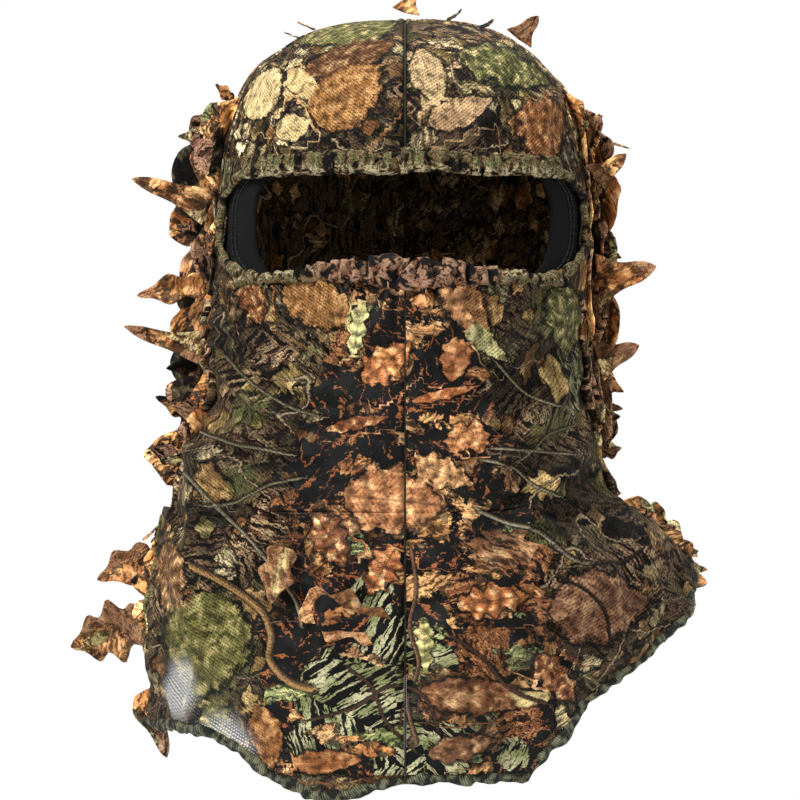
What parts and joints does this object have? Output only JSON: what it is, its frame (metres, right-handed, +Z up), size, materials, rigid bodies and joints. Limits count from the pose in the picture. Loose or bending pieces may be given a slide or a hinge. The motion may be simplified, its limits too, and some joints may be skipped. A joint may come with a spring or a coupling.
{
  "type": "leafy camouflage face mask",
  "caption": "Full-head camouflage hood with an elastic eye opening, pull-down face veil, long front bib, rear cape and sewn cut-cloth leaves.",
  "frame": {"origin": "middle of the wearer's head at eye level, inside the hood", "axes": "+Z up, +X to the right in a front view, the wearer looks along -Y"},
  "size_m": [0.2878, 0.2417, 0.3552],
  "materials": {
    "mesh_camo": "fine knitted mesh, printed",
    "satin_camo": "smooth printed satin weave, cut edges",
    "leaf_cloth": "printed cut cloth, both sides",
    "liner_black": "stretch knit",
    "elastic_white": "braided elastic",
    "seam_thread": "sewn seam allowance with thread",
    "hem_thread": "overlocked thread",
    "stitch_grey": "lockstitch thread"
  },
  "bodies": {
    "hood": {"crown_panel_left": "mesh_camo", "crown_panel_right": "mesh_camo", "crown_seam": "seam_thread", "side_panel_left": "mesh_camo", "side_panel_right": "mesh_camo", "back_panel_left": "mesh_camo", "back_panel_right": "mesh_camo", "back_seam": "seam_thread", "crown_side_seam_left": "seam_thread", "crown_side_seam_right": "seam_thread", "brow_casing": "mesh_camo", "brow_elastic": "elastic_white", "eye_liner_left": "liner_black", "eye_liner_right": "liner_black", "liner_stitching_left": "stitch_grey", "liner_stitching_right": "stitch_grey", "chin_band_left": "mesh_camo", "chin_band_right": "mesh_camo", "crown_leaves": "leaf_cloth", "side_leaves_left": "leaf_cloth", "side_leaves_right": "leaf_cloth", "back_leaves": "leaf_cloth"},
    "veil": {"veil_panel_left": "mesh_camo", "veil_panel_right": "mesh_camo", "veil_seam": "seam_thread", "cheek_casing": "mesh_camo", "cheek_elastic": "elastic_white", "veil_overlay_left": "satin_camo", "veil_overlay_right": "satin_camo"},
    "bib": {"bib_panel_left": "mesh_camo", "bib_panel_right": "mesh_camo", "bib_seam": "seam_thread", "bib_hem": "hem_thread", "bib_overlay_left": "satin_camo", "bib_overlay_right": "satin_camo"},
    "cape": {"cape_panel_left": "mesh_camo", "cape_panel_right": "mesh_camo", "cape_seam": "seam_thread", "cape_hem": "hem_thread", "cape_leaves_left": "leaf_cloth", "cape_leaves_right": "leaf_cloth"},
    "leaf_temple_left": {"leaf_temple_left": "leaf_cloth"},
    "leaf_cheek_left": {"leaf_cheek_left": "leaf_cloth"},
    "leaf_jaw_left": {"leaf_jaw_left": "leaf_cloth"},
    "leaf_shoulder_left": {"leaf_shoulder_left": "leaf_cloth"},
    "leaf_cape_left": {"leaf_cape_left": "leaf_cloth"},
    "leaf_temple_right": {"leaf_temple_right": "leaf_cloth"},
    "leaf_cheek_right": {"leaf_cheek_right": "leaf_cloth"},
    "leaf_jaw_right": {"leaf_jaw_right": "leaf_cloth"},
    "leaf_crown_top": {"leaf_crown_top": "leaf_cloth"},
    "leaf_crown_right": {"leaf_crown_right": "leaf_cloth"},
    "leaf_bib_centre": {"leaf_bib_centre": "leaf_cloth"},
    "leaf_bib_side": {"leaf_bib_side": "leaf_cloth"}
  },
  "joints": [
    {"name": "veil_pull", "type": "slide", "parent": "hood", "child": "veil", "axis": [0, 0, -1], "range_m": [0, 0.065]},
    {"name": "bib_lift", "type": "hinge", "parent": "hood", "child": "bib", "pos_m": [0, -0.06, -0.092], "axis": [-1, 0, 0], "range_deg": [0, 35]},
    {"name": "cape_lift", "type": "hinge", "parent": "hood", "child": "cape", "pos_m": [0, 0.04, -0.095], "axis": [1, 0, 0], "range_deg": [0, 35]},
    {"name": "temple_left_flutter", "type": "hinge", "parent": "hood", "child": "leaf_temple_left", "pos_m": [-0.08566, -0.02801, 0.00804], "axis": [0.3304, 0, 0.9438], "range_deg": [-20, 20], "stiffness_Nm_per_rad": 0.0012},
    {"name": "cheek_left_flutter", "type": "hinge", "parent": "hood", "child": "leaf_cheek_left", "pos_m": [-0.08762, -0.03045, -0.02569], "axis": [-0.2149, 0, 0.9766], "range_deg": [-20, 20], "stiffness_Nm_per_rad": 0.0012},
    {"name": "jaw_left_flutter", "type": "hinge", "parent": "hood", "child": "leaf_jaw_left", "pos_m": [-0.08861, -0.03218, -0.05407], "axis": [0.1386, 0, 0.9903], "range_deg": [-20, 20], "stiffness_Nm_per_rad": 0.0012},
    {"name": "shoulder_left_flutter", "type": "hinge", "parent": "cape", "child": "leaf_shoulder_left", "pos_m": [-0.1128, 0.01457, -0.1451], "axis": [-0.5145, 0, 0.8575], "range_deg": [-20, 20], "stiffness_Nm_per_rad": 0.0012},
    {"name": "cape_left_flutter", "type": "hinge", "parent": "cape", "child": "leaf_cape_left", "pos_m": [-0.1166, 0.01615, -0.17664], "axis": [-0.2873, 0, 0.9578], "range_deg": [-20, 20], "stiffness_Nm_per_rad": 0.0012},
    {"name": "temple_right_flutter", "type": "hinge", "parent": "hood", "child": "leaf_temple_right", "pos_m": [0.08384, -0.02432, 0.02021], "axis": [0.6, 0, -0.8], "range_deg": [-20, 20], "stiffness_Nm_per_rad": 0.0012},
    {"name": "cheek_right_flutter", "type": "hinge", "parent": "hood", "child": "leaf_cheek_right", "pos_m": [0.08429, -0.02639, -0.02396], "axis": [-0.2873, 0, -0.9578], "range_deg": [-20, 20], "stiffness_Nm_per_rad": 0.0012},
    {"name": "jaw_right_flutter", "type": "hinge", "parent": "hood", "child": "leaf_jaw_right", "pos_m": [0.08436, -0.02818, -0.05998], "axis": [0.2696, 0, -0.963], "range_deg": [-20, 20], "stiffness_Nm_per_rad": 0.0012},
    {"name": "crown_top_flutter", "type": "hinge", "parent": "hood", "child": "leaf_crown_top", "pos_m": [0, -0.02451, 0.09359], "axis": [0.9578, 0, -0.2873], "range_deg": [-20, 20], "stiffness_Nm_per_rad": 0.0012},
    {"name": "crown_right_flutter", "type": "hinge", "parent": "hood", "child": "leaf_crown_right", "pos_m": [0.05026, 0, 0.08376], "axis": [0.8, 0, -0.6], "range_deg": [-20, 20], "stiffness_Nm_per_rad": 0.0012},
    {"name": "bib_centre_flutter", "type": "hinge", "parent": "bib", "child": "leaf_bib_centre", "pos_m": [-0.0438, -0.11907, -0.16245], "axis": [-0.4061, 0, -0.9138], "range_deg": [0, 40], "stiffness_Nm_per_rad": 0.0012},
    {"name": "bib_side_flutter", "type": "hinge", "parent": "bib", "child": "leaf_bib_side", "pos_m": [-0.05161, -0.11338, -0.13936], "axis": [-0.9487, 0, 0.3162], "range_deg": [0, 35], "stiffness_Nm_per_rad": 0.0012}
  ]
}
